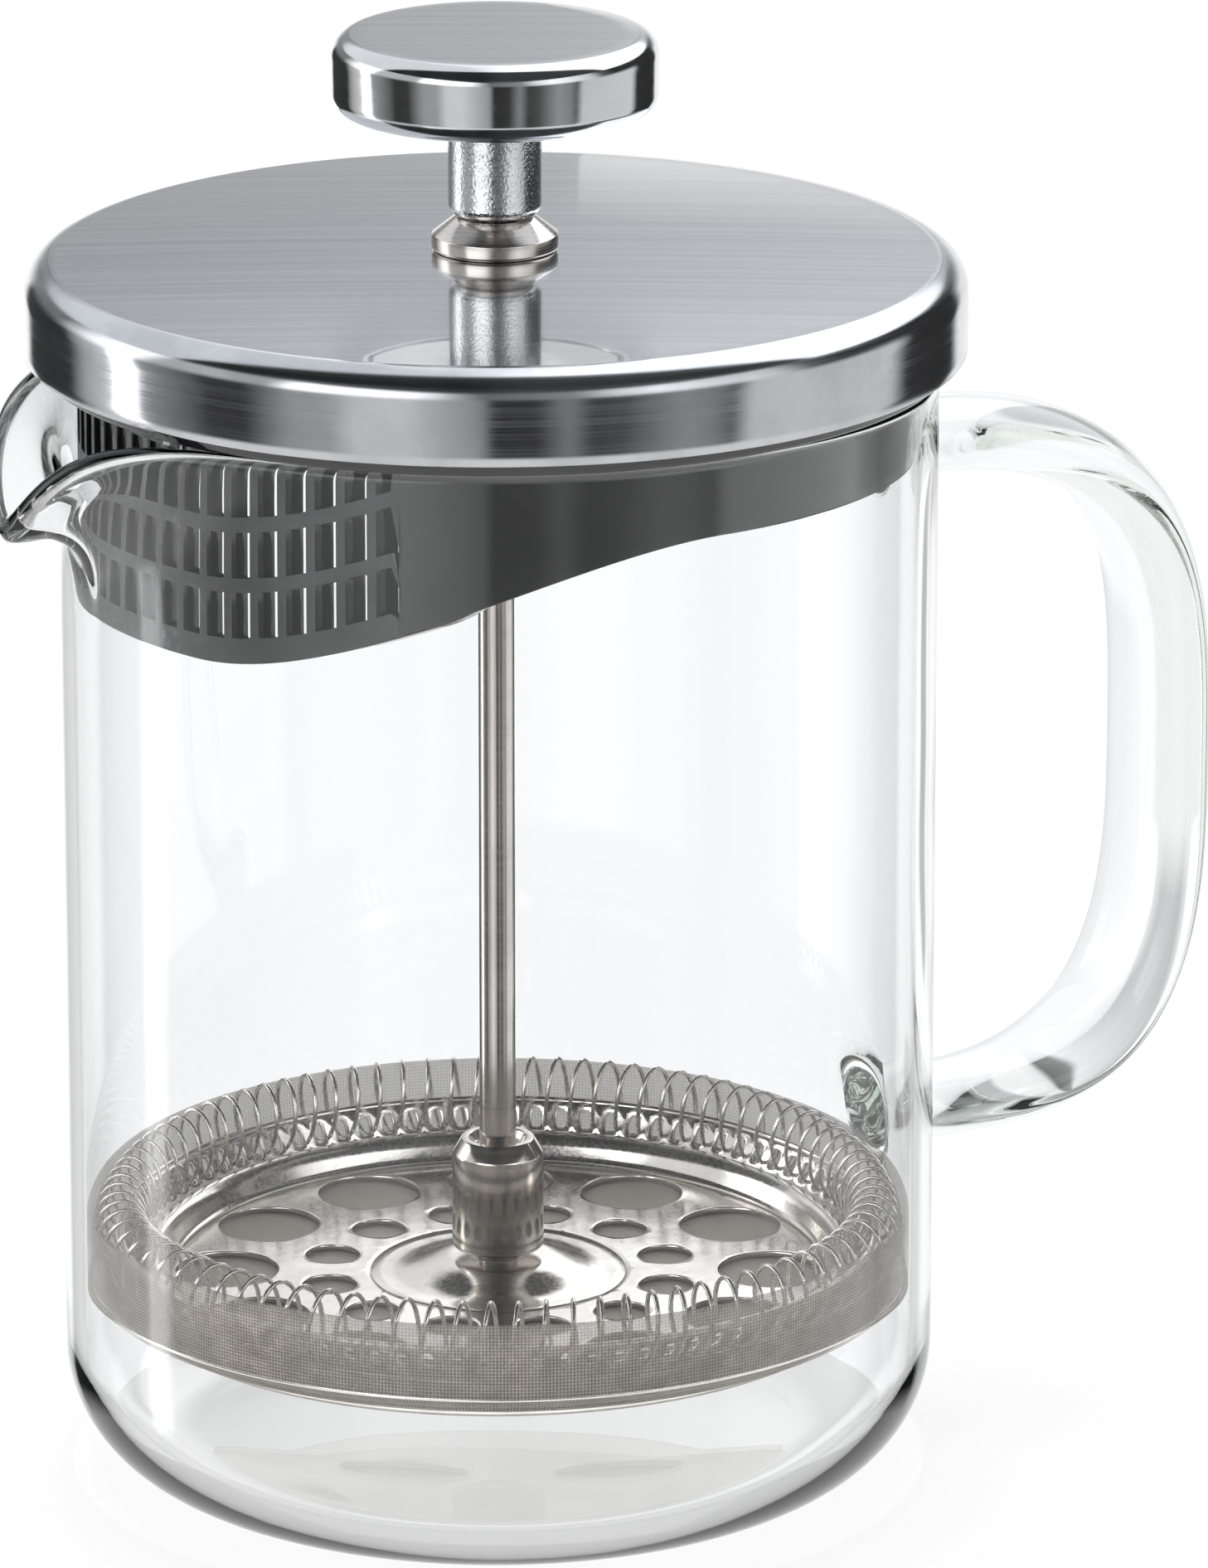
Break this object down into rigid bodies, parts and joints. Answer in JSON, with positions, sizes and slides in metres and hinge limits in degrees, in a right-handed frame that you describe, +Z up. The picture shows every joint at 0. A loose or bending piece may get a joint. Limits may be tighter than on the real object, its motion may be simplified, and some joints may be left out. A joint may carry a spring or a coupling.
{
  "type": "french press",
  "caption": "Glass press-filter coffee maker: beaker with fused glass handle and pouring lip, steel lid with black strainer skirt, and a knobbed plunger with a sprung mesh filter.",
  "frame": {"origin": "centre of the beaker's flat base, on the surface it stands on", "axes": "+Z up along the plunger; +X towards the handle; -X towards the pouring lip"},
  "size_m": [0.1439, 0.101, 0.1597],
  "materials": {
    "clear_glass": "clear borosilicate, fire-polished",
    "brushed_steel": "fine straight brushing on top, brushed round the side",
    "polished_steel": "polished",
    "turned_steel": "satin, turned",
    "sheet_steel": "satin pressed sheet",
    "wire_steel": "fine wire",
    "black_plastic": "glossy black moulding"
  },
  "bodies": {
    "beaker": {"beaker": "clear_glass", "handle": "clear_glass"},
    "guide": {"guide_bush": "turned_steel", "bush_nut": "turned_steel"},
    "lid": {"lid_cap": "brushed_steel", "strainer_insert": "black_plastic"},
    "plunger": {"knob_cap": "polished_steel", "knob_base": "polished_steel", "knob_sleeve": "polished_steel", "plunger_rod": "turned_steel", "filter_hub": "turned_steel", "spiral_plate": "sheet_steel", "edge_spring": "wire_steel", "mesh_filter": "wire_steel", "cross_plate": "sheet_steel", "cross_plate_nut": "turned_steel"}
  },
  "joints": [
    {"name": "lid_lift", "type": "slide", "parent": "beaker", "child": "guide", "axis": [0, 0, 1], "range_m": [0, 0.13]},
    {"name": "lid_turn", "type": "hinge", "parent": "guide", "child": "lid", "pos_m": [0, 0, 0.136], "axis": [0, 0, 1], "continuous": true},
    {"name": "plunger_pull", "type": "slide", "parent": "guide", "child": "plunger", "axis": [0, 0, 1], "range_m": [0, 0.067]}
  ]
}
